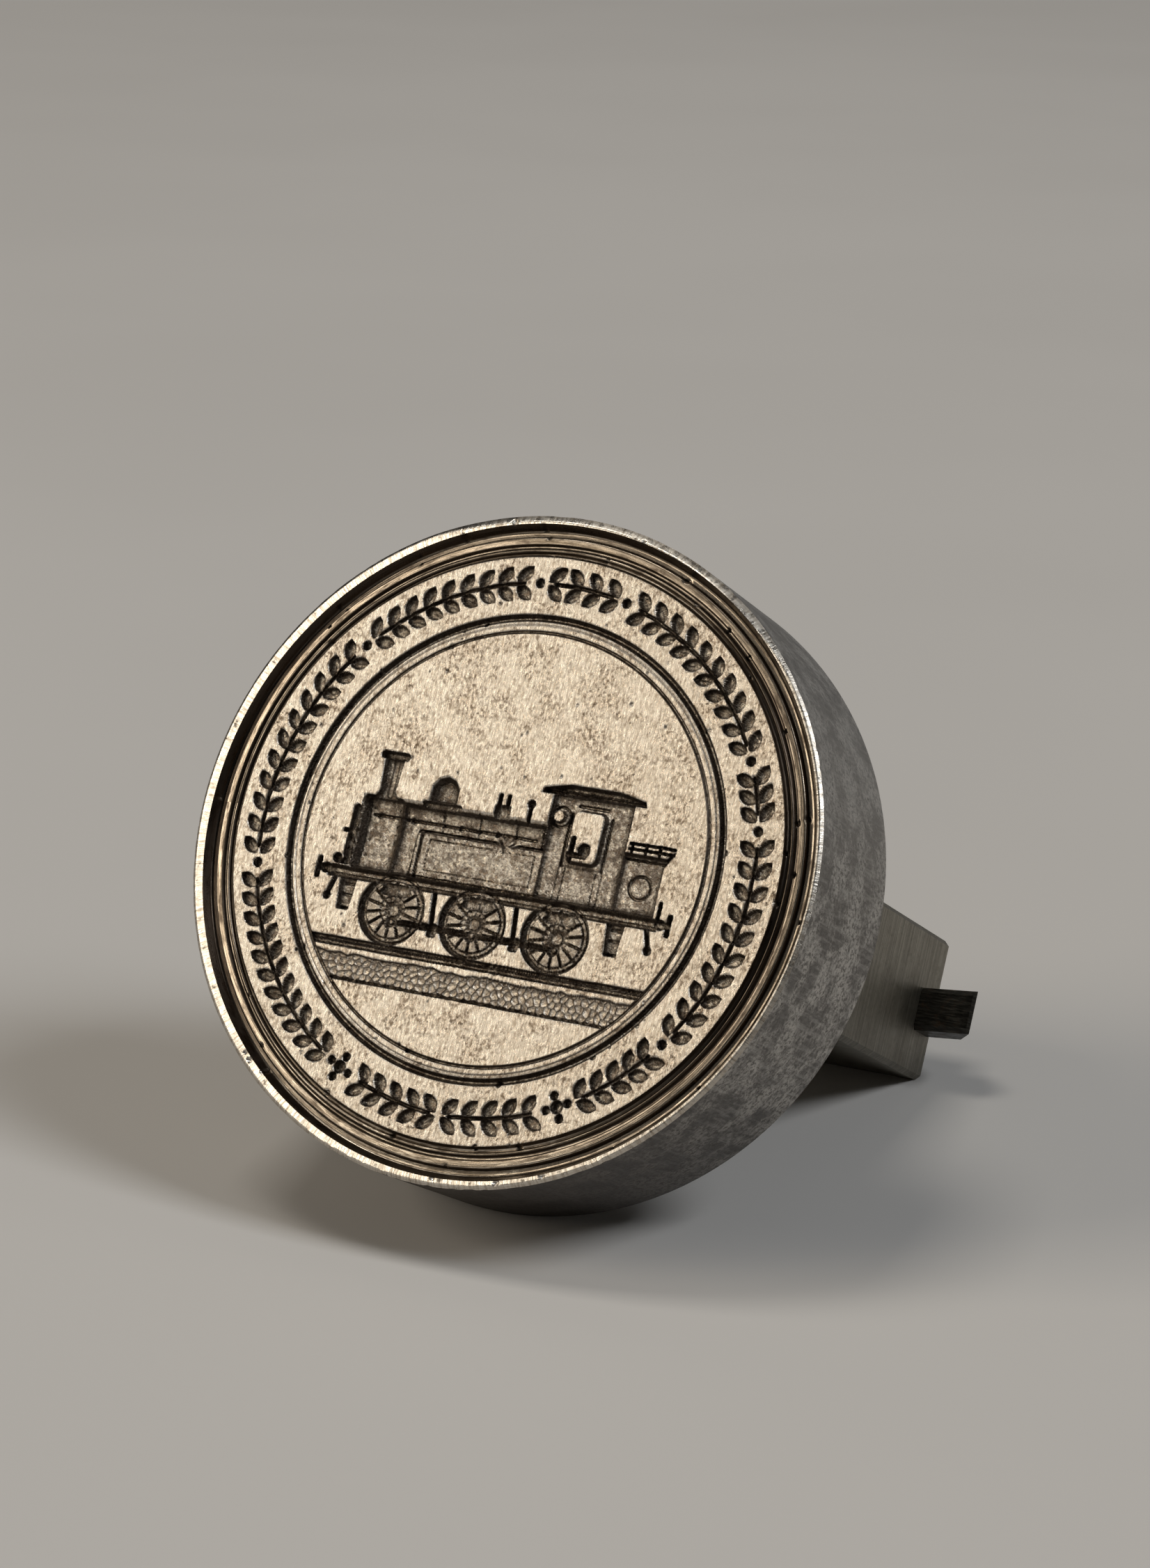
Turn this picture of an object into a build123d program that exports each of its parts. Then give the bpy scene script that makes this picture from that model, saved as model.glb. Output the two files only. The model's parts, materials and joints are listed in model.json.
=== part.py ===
from build123d import *
import os
from math import atan2, cos, degrees, radians, sin

# Steel embossing die for a hand seal press, lying on a flat surface.
#
# The die's own frame: origin at the middle of the front rim, X towards the side
# that the peg sticks out of, Y up the engraved face, Z out of the face.
# The row frame: +Z up, +X as the die's X, +Y from the face towards the shank's
# end, origin on the surface under the middle of the part's box.
# All sizes are in millimetres.

# Head: a short round block
HEAD_RADIUS = 25.0
HEAD_THICKNESS = 13.7
FRONT_CHAMFER = 0.2
BACK_CHAMFER = 0.3

# Turned face: radii and depths below the rim, about a centre slightly off the head's
TURNING_OFFSET = 0.24
RIM_INNER_RADIUS = 24.35
MOAT_OUTER_RADIUS = 23.9
MOAT_INNER_RADIUS = 23.5
MOAT_DEPTH = 0.72
BEAD_OUTER_RADIUS = 23.3
BEAD_INNER_RADIUS = 22.9
BEAD_DEPTH = 0.33
FINE_GROOVE_RADIUS = 22.67
FINE_BEAD_RADIUS = 22.37
INNER_GROOVE_RADIUS = 22.08
FINE_GROOVE_DEPTH = 0.55
FIELD_RADIUS = 21.85
FIELD_DEPTH = 0.15
RING_OUTER_RADIUS = 17.5
RING_GROOVE_RADIUS = 17.22
RING_RIB_OUTER_RADIUS = 16.95
RING_RIB_INNER_RADIUS = 16.15
RING_INNER_RADIUS = 16.0
RING_DEPTH = 0.6
RING_RIB_DEPTH = 0.3

# Border ornament: laurel stems that climb both sides of the face from its foot to its top, parted by
# dots and four-dot crosses. Angles are in degrees, anticlockwise from the peg's side.
BORDER_RADIUS = 19.85
BORDER_FOOT = 270
STEM_WIDTH = 0.3
LEAF_LENGTH = 1.8
LEAF_WIDTH = 0.8
LEAF_SPREAD = 46
LEAF_ROOT_BACKSET = 0.6
LEAF_PAIR_PITCH = 4.45
DOT_RADIUS = 0.32
CROSS_ARM = 0.86
CROSS_CENTRE_RADIUS = 0.42
DOT_ANGLES = [12, 27, 74.5, 95.5, 138, 192, 323]
CROSS_ANGLES = [244, 297]
DOT_GAP = 3.7
CROSS_GAP = 6.0
FOOT_GAP = 2.4
ENGRAVING_DEPTH = 0.45

# Emblem: a side-tank steam engine on a ballasted track
RAIL_TOP = -8.6
RAIL_HEIGHT = 0.55
SLEEPER_WIDTH = 0.9
SLEEPER_PITCH = 1.9
BALLAST_TOP = -9.55
BALLAST_BOTTOM = -11.6
BALLAST_TOP_HALF = 13.2
BALLAST_BOTTOM_HALF = 12.0
WHEEL_RADIUS = 2.75
WHEEL_SINK = 0.15
WHEEL_RIM = 0.5
WHEEL_HUB_RADIUS = 0.65
WHEEL_CENTRES = [-7.6, -0.9, 5.8]
SPOKES = 10
SPOKE_WIDTH = 0.26
FOOTPLATE_BOTTOM = -3.9
FOOTPLATE_TOP = -3.3
FOOTPLATE_LEFT = -13.4
FOOTPLATE_RIGHT = 13.6
BOILER_TOP = 2.2
SMOKEBOX_LEFT = -12.0
CAB_LEFT = 2.2
CAB_RIGHT = 9.6
CAB_TOP = 4.6
ROOF_THICKNESS = 0.5
ROOF_OVERHANG = 0.7
BUNKER_RIGHT = 13.2
BUNKER_TOP = 0.9
WINDOW_WIDTH = 2.2
WINDOW_HEIGHT = 2.3
CHIMNEY_X = -10.2
CHIMNEY_WIDTH = 1.5
CHIMNEY_TOP = 5.6
DOME_X = -5.2
DOME_RADIUS = 1.3

# Shank: a flat bar with a round spigot that fits the head's blind bore
SHANK_WIDTH = 34.2
SHANK_HEIGHT = 11.6
SHANK_LENGTH = 36.0
SHANK_CHAMFER = 0.4
SPIGOT_RADIUS = 4.5
SPIGOT_LENGTH = 8.0
BORE_END_GAP = 0.5

# Locating peg: a square key in the shank's side, with a round tail inside it
PEG_SIDE = 3.5
PEG_LENGTH = 4.8
PEG_FROM_END = 2.65
PEG_DROP = 0.5
PEG_RISE = 0.47
PEG_END_BACKSET = 1.9
PEG_CHAMFER = 0.4
PEG_TAIL_RADIUS = 1.2
PEG_TAIL_LENGTH = 5.0
PEG_HOLE_END_GAP = 0.4


def resting_tilt():
    """Angle of the die's axis to the surface, when the head's back edge and the shank's end edge rest on it."""
    drop = HEAD_RADIUS - SHANK_HEIGHT / 2
    run = SHANK_LENGTH - SHANK_CHAMFER + BACK_CHAMFER
    return atan2(drop, run)


def resting_plane(tilt):
    """The die's own frame, placed in the row frame."""
    shank_end = HEAD_THICKNESS + SHANK_LENGTH
    front = -(HEAD_RADIUS - FRONT_CHAMFER) * sin(tilt)
    back = (SHANK_HEIGHT / 2 - SHANK_CHAMFER) * sin(tilt) + shank_end * cos(tilt)
    height = HEAD_RADIUS * cos(tilt) + (HEAD_THICKNESS - BACK_CHAMFER) * sin(tilt)
    return Plane(
        origin=(0, -(front + back) / 2, height),
        x_dir=(1, 0, 0),
        z_dir=(0, -cos(tilt), sin(tilt)),
    )


def face_recess():
    """What the lathe took off the front of the head, inside its rim."""
    outline = Polyline(
        (0, 1),
        (RIM_INNER_RADIUS, 1),
        (RIM_INNER_RADIUS, 0),
        (MOAT_OUTER_RADIUS, -MOAT_DEPTH),
        (MOAT_INNER_RADIUS, -MOAT_DEPTH),
        (BEAD_OUTER_RADIUS, -BEAD_DEPTH),
        (BEAD_INNER_RADIUS, -BEAD_DEPTH),
        (FINE_GROOVE_RADIUS, -FINE_GROOVE_DEPTH),
        (FINE_BEAD_RADIUS, -BEAD_DEPTH),
        (INNER_GROOVE_RADIUS, -FINE_GROOVE_DEPTH),
        (FIELD_RADIUS, -FIELD_DEPTH),
        (RING_OUTER_RADIUS, -FIELD_DEPTH),
        (RING_GROOVE_RADIUS, -RING_DEPTH),
        (RING_RIB_OUTER_RADIUS, -RING_RIB_DEPTH),
        (RING_RIB_INNER_RADIUS, -RING_RIB_DEPTH),
        (RING_INNER_RADIUS, -FIELD_DEPTH),
        (0, -FIELD_DEPTH),
        close=True,
    )
    section = Plane.XZ * make_face(outline)
    return Pos(TURNING_OFFSET, 0, 0) * revolve(section, Axis.Z)


def engrave(sketch):
    """A flat-bottomed cut of a sketch into the field."""
    top = FIELD_DEPTH - 0.05
    floor_depth = FIELD_DEPTH + ENGRAVING_DEPTH
    cut = extrude(sketch, floor_depth - top)
    return Pos(TURNING_OFFSET, 0, -floor_depth) * cut


def leaf():
    """A pointed leaf that grows along Y from its root."""
    arc_radius = (LEAF_WIDTH**2 + LEAF_LENGTH**2) / (4 * LEAF_WIDTH)
    shift = arc_radius - LEAF_WIDTH / 2
    left = Pos(-shift, 0) * Circle(arc_radius)
    right = Pos(shift, 0) * Circle(arc_radius)
    return Pos(0, LEAF_LENGTH / 2) * (left & right)


def cross_of_dots():
    """Four dots round a bigger one."""
    dots = Circle(CROSS_CENTRE_RADIUS)
    for quarter in range(4):
        dots += Rot(0, 0, 90 * quarter) * Pos(CROSS_ARM, 0) * Circle(DOT_RADIUS)
    return dots


def on_border(angle):
    """A place on the border, with X outwards and Y anticlockwise round it."""
    return Rot(0, 0, angle) * Pos(BORDER_RADIUS, 0)


def garland(start, end):
    """Pairs of leaves on a stem between two angles, all pointing towards the top of the face."""
    pairs = max(round((end - start) / LEAF_PAIR_PITCH) + 1, 1)
    pitch = (end - start) / max(pairs - 1, 1)
    sketch = Sketch()
    for pair in range(pairs):
        angle = start + pair * pitch
        turn = 0 if -90 < angle <= 90 else 180
        root = on_border(angle) * Rot(0, 0, turn) * Pos(0, -LEAF_ROOT_BACKSET)
        for way in (-1, 1):
            sketch += root * Rot(0, 0, way * LEAF_SPREAD) * leaf()
        if pair < pairs - 1:
            chord = radians(pitch) * BORDER_RADIUS
            sketch += on_border(angle + pitch / 2) * Rectangle(STEM_WIDTH, chord + STEM_WIDTH / 2)
    return sketch


def border_cuts():
    """Every garland, dot and cross of the border."""
    cuts = [engrave(on_border(angle) * Circle(DOT_RADIUS)) for angle in DOT_ANGLES]
    cuts += [engrave(on_border(angle) * cross_of_dots()) for angle in CROSS_ANGLES]
    breaks = [(angle, DOT_GAP) for angle in DOT_ANGLES]
    breaks += [(angle, CROSS_GAP) for angle in CROSS_ANGLES]
    breaks = sorted(breaks + [(BORDER_FOOT, FOOT_GAP)])
    first_angle, first_gap = breaks[0]
    for (start, gap), (end, next_gap) in zip(breaks, breaks[1:] + [(first_angle + 360, first_gap)]):
        turn = 360 if start >= BORDER_FOOT else 0
        cuts.append(engrave(garland(start + gap - turn, end - next_gap - turn)))
    return cuts


def span(left, right, bottom, top):
    """A rectangle given by its four sides."""
    return Pos((left + right) / 2, (bottom + top) / 2) * Rectangle(right - left, top - bottom)


def engine_body():
    """Boiler, tank, cab, bunker, chimney, dome and footplate of the engine."""
    body = span(SMOKEBOX_LEFT, CAB_LEFT, FOOTPLATE_TOP, BOILER_TOP)
    body += span(CAB_LEFT, CAB_RIGHT, FOOTPLATE_TOP, CAB_TOP)
    body += span(CAB_LEFT - ROOF_OVERHANG, CAB_RIGHT + ROOF_OVERHANG, CAB_TOP, CAB_TOP + ROOF_THICKNESS)
    body += span(CAB_RIGHT, BUNKER_RIGHT, FOOTPLATE_TOP, BUNKER_TOP)
    body += span(FOOTPLATE_LEFT, FOOTPLATE_RIGHT, FOOTPLATE_BOTTOM, FOOTPLATE_TOP)
    body += span(CHIMNEY_X - CHIMNEY_WIDTH / 2, CHIMNEY_X + CHIMNEY_WIDTH / 2, BOILER_TOP, CHIMNEY_TOP)
    body += Pos(DOME_X, BOILER_TOP + DOME_RADIUS / 2) * Circle(DOME_RADIUS)
    window = Rectangle(WINDOW_WIDTH, WINDOW_HEIGHT)
    return body - Pos((CAB_LEFT + CAB_RIGHT) / 2, CAB_TOP - WINDOW_HEIGHT) * window


def wheel():
    """A spoked wheel standing on the rail."""
    disc = Circle(WHEEL_RADIUS) - Circle(WHEEL_RADIUS - WHEEL_RIM)
    disc += Circle(WHEEL_HUB_RADIUS)
    for spoke in range(SPOKES):
        bar = Pos(WHEEL_RADIUS / 2, 0) * Rectangle(WHEEL_RADIUS - WHEEL_RIM / 2, SPOKE_WIDTH)
        disc += Rot(0, 0, 360 * spoke / SPOKES) * bar
    return disc


def track():
    """The rail, its sleepers and the bed of ballast."""
    bed = make_face(
        Polyline(
            (-BALLAST_TOP_HALF, BALLAST_TOP),
            (BALLAST_TOP_HALF, BALLAST_TOP),
            (BALLAST_BOTTOM_HALF, BALLAST_BOTTOM),
            (-BALLAST_BOTTOM_HALF, BALLAST_BOTTOM),
            close=True,
        )
    )
    rail_half = BALLAST_TOP_HALF + 0.3
    rails = span(-rail_half, rail_half, RAIL_TOP - RAIL_HEIGHT, RAIL_TOP)
    count = int(2 * BALLAST_TOP_HALF / SLEEPER_PITCH)
    for place in range(count):
        x = (place - (count - 1) / 2) * SLEEPER_PITCH
        rails += span(x - SLEEPER_WIDTH / 2, x + SLEEPER_WIDTH / 2, BALLAST_TOP, RAIL_TOP - RAIL_HEIGHT / 2)
    return bed + rails


def emblem():
    """The engine standing on its track, as one sketch."""
    whole = engine_body() + track()
    for x in WHEEL_CENTRES:
        whole += Pos(x, RAIL_TOP + WHEEL_RADIUS - WHEEL_SINK) * wheel()
    return whole


def die_head():
    """The round block with its turned and engraved face and the blind bore in its back."""
    block = Pos(0, 0, -HEAD_THICKNESS / 2) * Cylinder(HEAD_RADIUS, HEAD_THICKNESS)
    rims = block.edges().filter_by(GeomType.CIRCLE).sort_by(Axis.Z)
    block = chamfer(rims[-1], FRONT_CHAMFER)
    rims = block.edges().filter_by(GeomType.CIRCLE).sort_by(Axis.Z)
    block = chamfer(rims[0], BACK_CHAMFER)
    bore_depth = SPIGOT_LENGTH + BORE_END_GAP
    bore = Pos(0, 0, -HEAD_THICKNESS + bore_depth / 2) * Cylinder(SPIGOT_RADIUS, bore_depth)
    return block - face_recess() - bore - border_cuts() - engrave(emblem())


def peg_centre():
    """The middle of the peg's root, on the shank's side."""
    return (SHANK_WIDTH / 2, -PEG_DROP, -(HEAD_THICKNESS + SHANK_LENGTH) + PEG_FROM_END)


def shank():
    """The flat bar with its spigot in front and the peg's hole in its side."""
    bar = Pos(0, 0, -HEAD_THICKNESS - SHANK_LENGTH / 2) * Box(SHANK_WIDTH, SHANK_HEIGHT, SHANK_LENGTH)
    shoulder_edges = bar.faces().sort_by(Axis.Z)[-1].edges()
    bar = chamfer([edge for edge in bar.edges() if edge not in shoulder_edges], SHANK_CHAMFER)
    spigot = Pos(0, 0, -HEAD_THICKNESS + SPIGOT_LENGTH / 2) * Cylinder(SPIGOT_RADIUS, SPIGOT_LENGTH)
    hole_depth = PEG_TAIL_LENGTH + PEG_HOLE_END_GAP
    x, y, z = peg_centre()
    hole = Pos(x - hole_depth / 2, y, z) * Rot(0, 90, 0) * Cylinder(PEG_TAIL_RADIUS, hole_depth)
    return bar + spigot - hole


def locating_peg():
    """The square key: it rises a little outwards, and its end slopes back away from the head."""
    half = PEG_SIDE / 2
    rise_outline = Polyline(
        (0, -half),
        (PEG_LENGTH, -half + PEG_RISE),
        (PEG_LENGTH, half + PEG_RISE),
        (0, half),
        close=True,
    )
    plan_outline = Polyline(
        (0, half),
        (PEG_LENGTH, half),
        (PEG_LENGTH - PEG_END_BACKSET, -half),
        (0, -half),
        close=True,
    )
    side = extrude(make_face(rise_outline), PEG_SIDE, both=True)
    plan = extrude(Plane.XZ * make_face(plan_outline), PEG_SIDE, both=True)
    key = side & plan
    front = key.faces().sort_by(Axis.Z)[-1]
    root = front.edges().sort_by(Axis.X)[0]
    key = chamfer([edge for edge in front.edges() if edge != root], PEG_CHAMFER)
    tail = Pos(-PEG_TAIL_LENGTH / 2, 0, 0) * Rot(0, 90, 0) * Cylinder(PEG_TAIL_RADIUS, PEG_TAIL_LENGTH)
    return Pos(*peg_centre()) * (key + tail)


def main():
    tilt = resting_tilt()
    plane = resting_plane(tilt)
    print("axis tilt", round(degrees(tilt), 2), "face centre at", plane.origin)
    nodes = {
        "die_head": die_head(),
        "shank": shank(),
        "locating_peg": locating_peg(),
    }
    os.makedirs("parts", exist_ok=True)
    for name, solid in nodes.items():
        export_step(plane.location * solid, f"parts/{name}.step")


main()
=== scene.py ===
import json
import math

import bpy
import numpy as np
from mathutils import Matrix, Vector


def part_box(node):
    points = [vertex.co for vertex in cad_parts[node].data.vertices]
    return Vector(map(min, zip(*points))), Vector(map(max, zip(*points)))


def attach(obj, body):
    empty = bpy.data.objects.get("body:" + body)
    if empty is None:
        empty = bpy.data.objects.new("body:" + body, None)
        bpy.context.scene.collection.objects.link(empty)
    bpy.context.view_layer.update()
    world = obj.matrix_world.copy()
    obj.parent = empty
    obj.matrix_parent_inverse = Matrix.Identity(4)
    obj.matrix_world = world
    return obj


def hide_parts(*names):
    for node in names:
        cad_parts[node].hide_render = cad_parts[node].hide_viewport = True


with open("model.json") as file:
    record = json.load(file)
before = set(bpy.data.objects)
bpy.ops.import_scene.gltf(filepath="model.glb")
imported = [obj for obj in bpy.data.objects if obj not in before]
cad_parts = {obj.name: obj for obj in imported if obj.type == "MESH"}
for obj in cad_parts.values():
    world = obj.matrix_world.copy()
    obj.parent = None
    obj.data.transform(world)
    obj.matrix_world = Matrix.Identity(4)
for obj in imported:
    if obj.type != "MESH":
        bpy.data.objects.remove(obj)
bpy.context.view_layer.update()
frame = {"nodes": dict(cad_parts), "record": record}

# The steel die of a hand seal press, lying on a pale floor. Scene units are metres. The die's own
# frame, in millimetres, has its origin at the middle of the front rim, x towards the peg's side,
# y up the face and z out of the face. Numbers in the drawing code are millimetres in that frame,
# with depths counted inwards from the surface.
MM = 0.001
SEED = 7


# ---------------------------------------------------------------- the die's own frame

def die_frame():
    """The frame's origin and axes and the head's thickness, from the record's mounts."""
    mounts = {m["name"]: m for m in frame["record"]["mounts"]}
    out = Vector(mounts["rim_face"]["axis"]).normalized()
    rim = Vector(mounts["rim_face"]["pos_m"])
    shoulder = Vector(mounts["head_shoulder"]["pos_m"])
    end = Vector(mounts["shank_end"]["pos_m"])
    side = Vector((1, 0, 0))
    up = out.cross(side)
    turn = Matrix((side, up, out)).transposed()
    return end + out * (rim - end).dot(out), turn, (rim - shoulder).dot(out) / MM


CENTRE, TURN, HEAD_THICKNESS = die_frame()
HEAD_RADIUS = -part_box("die_head")[0].x / MM


def to_row(points):
    """Points of the die's own frame, in millimetres, as points of the row frame in metres."""
    return np.asarray(points) * MM @ np.array(TURN).T + np.array(CENTRE)


# ---------------------------------------------------------------- the engraver's tools

# Cells along each side of the square of random numbers that the noise repeats
NOISE_CELLS = 256


def value_noise(x, y, cell, seed):
    """Smooth noise from -1 to 1, with bumps about one cell across."""
    rng = np.random.default_rng(seed)
    size = NOISE_CELLS
    grid = rng.uniform(-1, 1, (size, size))
    u, v = np.asarray(x) / cell, np.asarray(y) / cell
    i, j = np.floor(u).astype(int), np.floor(v).astype(int)
    s, t = u - i, v - j
    s, t = s * s * (3 - 2 * s), t * t * (3 - 2 * t)
    i, j, k, l = i % size, j % size, (i + 1) % size, (j + 1) % size
    low = grid[i, j] * (1 - s) + grid[k, j] * s
    high = grid[i, l] * (1 - s) + grid[k, l] * s
    return low * (1 - t) + high * t


def smooth(t):
    """An S-curve from 0 to 1."""
    t = np.clip(t, 0, 1)
    return t * t * (3 - 2 * t)


# An outline is its box, as (left, right, bottom, top), and a function that gives the distance of a
# point from its edge, negative inside.

def rect(left, right, bottom, top, corner=0.05):
    """A rectangle with round corners."""
    cx, cy = (left + right) / 2, (bottom + top) / 2
    hw, hh = (right - left) / 2 - corner, (top - bottom) / 2 - corner

    def distance(x, y):
        dx, dy = np.abs(x - cx) - hw, np.abs(y - cy) - hh
        outside = np.hypot(np.maximum(dx, 0), np.maximum(dy, 0))
        return outside + np.minimum(np.maximum(dx, dy), 0) - corner

    return (left, right, bottom, top), distance


def disc(cx, cy, radius):
    """A filled circle."""
    box = (cx - radius, cx + radius, cy - radius, cy + radius)
    return box, lambda x, y: np.hypot(x - cx, y - cy) - radius


def ring(cx, cy, radius, width):
    """A circle drawn with a stroke of a width."""
    reach = radius + width / 2
    box = (cx - reach, cx + reach, cy - reach, cy + reach)
    return box, lambda x, y: np.abs(np.hypot(x - cx, y - cy) - radius) - width / 2


def bar(x0, y0, x1, y1, width):
    """A straight stroke with round ends."""
    half = width / 2
    box = (min(x0, x1) - half, max(x0, x1) + half, min(y0, y1) - half, max(y0, y1) + half)

    def distance(x, y):
        ux, uy = x1 - x0, y1 - y0
        along = np.clip(((x - x0) * ux + (y - y0) * uy) / (ux * ux + uy * uy), 0, 1)
        return np.hypot(x - x0 - along * ux, y - y0 - along * uy) - half

    return box, distance


def shape(*corners):
    """A polygon given by its corners, in order."""
    xs, ys = zip(*corners)

    def distance(x, y):
        nearest = np.full(np.shape(x), np.inf)
        inside = np.zeros(np.shape(x), bool)
        for (ax, ay), (bx, by) in zip(corners, corners[1:] + corners[:1]):
            ux, uy = bx - ax, by - ay
            along = np.clip(((x - ax) * ux + (y - ay) * uy) / (ux * ux + uy * uy), 0, 1)
            nearest = np.minimum(nearest, np.hypot(x - ax - along * ux, y - ay - along * uy))
            if ay != by:
                crosses = ((ay > y) != (by > y)) & (x < (y - ay) / (by - ay) * ux + ax)
                inside ^= crosses
        return np.where(inside, -nearest, nearest)

    return (min(xs), max(xs), min(ys), max(ys)), distance


# How much painted shade lies on a cut's floor at the foot of its wall, and how far that reaches
CORNER_SHADE = 0.4
CORNER_REACH = 0.42
# An added cut this deep has as much painted shade on its wall as a full cut
FULL_SHADE_DEPTH = 0.2
# How far the engraver's hand strays from an outline, and over what length
HAND_WOBBLE = 0.02
HAND_PERIOD = 0.9


class Relief:
    """A face as depths below its rim at scattered points, and the painted shade on each.

    The ground is the lathe work that the engraver starts from. The painted shade is kept as
    wall, from 0 to 1.
    """

    def __init__(self, x, y, depth):
        self.wobble_x = x + HAND_WOBBLE * value_noise(x, y, HAND_PERIOD, SEED + 1)
        self.wobble_y = y + HAND_WOBBLE * value_noise(x, y, HAND_PERIOD, SEED + 2)
        self.depth = depth
        self.ground = depth.copy()
        self.wall = np.zeros(len(depth))

    def near(self, box, margin=0.1):
        """The points in a box and a little round it."""
        left, right, bottom, top = box
        x, y = self.wobble_x, self.wobble_y
        in_columns = (x > left - margin) & (x < right + margin)
        in_rows = (y > bottom - margin) & (y < top + margin)
        return np.nonzero(in_columns & in_rows)[0]

    def inward(self, outline):
        """The points near an outline, and how far inside it each lies."""
        box, distance = outline
        at = self.near(box)
        return at, -distance(self.wobble_x[at], self.wobble_y[at])

    def share(self, outline, wall):
        """The points near an outline, and how far each is down its sloping wall, from 0 to 1."""
        at, inside = self.inward(outline)
        return at, smooth(inside / wall)

    def clear_shade(self, outline, edge=0.08):
        """Clears the painted shade from an area."""
        at, share = self.share(outline, edge)
        self.wall[at] *= 1 - share

    def sink(self, outline, level, wall=0.22, reach=CORNER_REACH):
        """Cuts down to a level below the ground, with painted shade on the wall and at its foot."""
        at, inside = self.inward(outline)
        share = smooth(inside / wall)
        floor = self.ground[at] + level * share
        cuts = floor > self.depth[at]
        self.depth[at] = np.where(cuts, floor, self.depth[at])
        # Painted shade on the wall, and across the floor near its foot
        corner = CORNER_SHADE * (1 - smooth((inside - wall) / reach)) * (inside > wall / 2)
        self.wall[at] = np.where(cuts, np.maximum(4 * share * (1 - share), corner), self.wall[at])

    def fill(self, outline, level, wall=0.15):
        """Leaves the metal standing at a level below the ground, inside a deeper cut."""
        at, share = self.share(outline, wall)
        target = self.ground[at] + level
        self.depth[at] = self.depth[at] * (1 - share) + np.minimum(self.depth[at], target) * share
        # Painted shade on the wall round the standing metal
        self.wall[at] = np.maximum(self.wall[at] * (1 - share), 4 * share * (1 - share))

    def add(self, outline, amount, wall=0.12):
        """Cuts deeper than what is there, or shallower where the amount is negative."""
        at, share = self.share(outline, wall)
        self.depth[at] += amount * share
        # Painted shade on the new wall, less for a shallow cut
        most = min(abs(amount) / FULL_SHADE_DEPTH, 1.0)
        self.wall[at] = np.maximum(self.wall[at], most * 4 * share * (1 - share))

    def barrel(self, outline, middle, half, amount):
        """Rounds a sunk area like the side of a barrel that lies along x."""
        at, share = self.share(outline, 0.08)
        lift = np.sqrt(np.clip(1 - ((self.wobble_y[at] - middle) / half) ** 2, 0, 1))
        self.depth[at] += amount * lift * share


# ---------------------------------------------------------------- the turned face

# How far the turning centre lies off the head's axis, along x
TURNING_OFFSET = 0.24
FIELD_DEPTH = 0.15
# Where the moat's wall meets the rim's flat land
LAND_START = 24.35
# Radius from the turning centre, and depth below the rim
TURNED_PROFILE = [
    # The field inside the inner ring
    (0.0, FIELD_DEPTH), (16.0, FIELD_DEPTH),
    # The inner ring: a fine line, a strip, and a wider groove
    (16.1, 0.3), (16.18, 0.34), (16.28, 0.22), (16.45, 0.2), (16.62, 0.2), (16.7, 0.26),
    (16.78, 0.2), (16.95, 0.22), (17.02, 0.4), (17.14, 0.6), (17.28, 0.62), (17.46, 0.2),
    # The field under the border
    (17.54, FIELD_DEPTH), (21.85, FIELD_DEPTH),
    # Two fine grooves with a bead between them
    (22.0, 0.44), (22.16, 0.5), (22.3, 0.3), (22.38, 0.28), (22.44, 0.3), (22.6, 0.56),
    (22.74, 0.56),
    # The broad bead and the moat
    (22.86, 0.34), (22.94, 0.32), (23.3, 0.34), (23.38, 0.38), (23.5, 0.7), (23.78, 0.75),
    (23.95, 0.68), (LAND_START, 0.0),
]
# The emblem's cuts stop at the inner ring's radius
EMBLEM_REACH = 16.05
# How far to each side a slope is measured, and the slope that counts as a full wall
SLOPE_STEP = 0.04
STEEP = 1.6
# Width of the rim's bevel, as turned and where it was filed back; its slope, and what filing took
EDGE_BEVEL, FILED_BEVEL = 0.23, 0.5
EDGE_SLOPE, FILED_FLATTENING = 0.9, 0.2
# Where the filed stretch of the rim's edge starts and ends, and over how much it fades in, in
# degrees from the x axis
FILED_FROM, FILED_TO = 38, 118
FILED_FADE = 14


def turned_depth(x, y):
    """Depth of the lathe work, with the rim's edge bevelled and filed back."""
    radii, depths = zip(*TURNED_PROFILE)
    depth = np.interp(np.hypot(x - TURNING_OFFSET, y), radii, depths, right=0.0)
    angle = np.degrees(np.arctan2(y, x))
    middle, half = (FILED_FROM + FILED_TO) / 2, (FILED_TO - FILED_FROM) / 2
    filed = smooth((half - np.abs(angle - middle)) / FILED_FADE)
    width = EDGE_BEVEL + (FILED_BEVEL - EDGE_BEVEL) * filed
    past = np.hypot(x, y) - (HEAD_RADIUS - width)
    return depth + np.clip(past, 0, None) * (EDGE_SLOPE - FILED_FLATTENING * filed)


def turned_wall(x, y):
    """How steep the lathe work is, from 0 to 1."""
    radii, depths = (np.array(v) for v in zip(*TURNED_PROFILE))
    radius = np.hypot(x - TURNING_OFFSET, y)
    outer = np.interp(radius + SLOPE_STEP, radii, depths, right=0)
    inner = np.interp(radius - SLOPE_STEP, radii, depths, right=0)
    return smooth(np.abs(outer - inner) / (2 * SLOPE_STEP) / STEEP)


# ---------------------------------------------------------------- the border

BORDER_RADIUS = 19.85
# Angles are in degrees anticlockwise from the x axis, and so are the gaps at dots and crosses
BORDER_DOTS = [27, 74.5, 95.5, 138, 192, 323, 12]
BORDER_CROSSES = [244, 297]
BORDER_TOP, BORDER_FOOT = 90, 270
DOT_GAP, CROSS_GAP, FOOT_GAP = 3.7, 6.0, 2.4
PAIR_PITCH = 4.45
DOT_RADIUS = 0.4
CROSS_CENTRE_RADIUS, CROSS_DOT_RADIUS = 0.52, 0.36
CROSS_ARM = 0.86
LEAF_LENGTH, LEAF_WIDTH = 1.8, 1.0
LEAF_DEPTH = 0.42
# Degrees between a leaf and its stem
LEAF_SPREAD = 46
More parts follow.
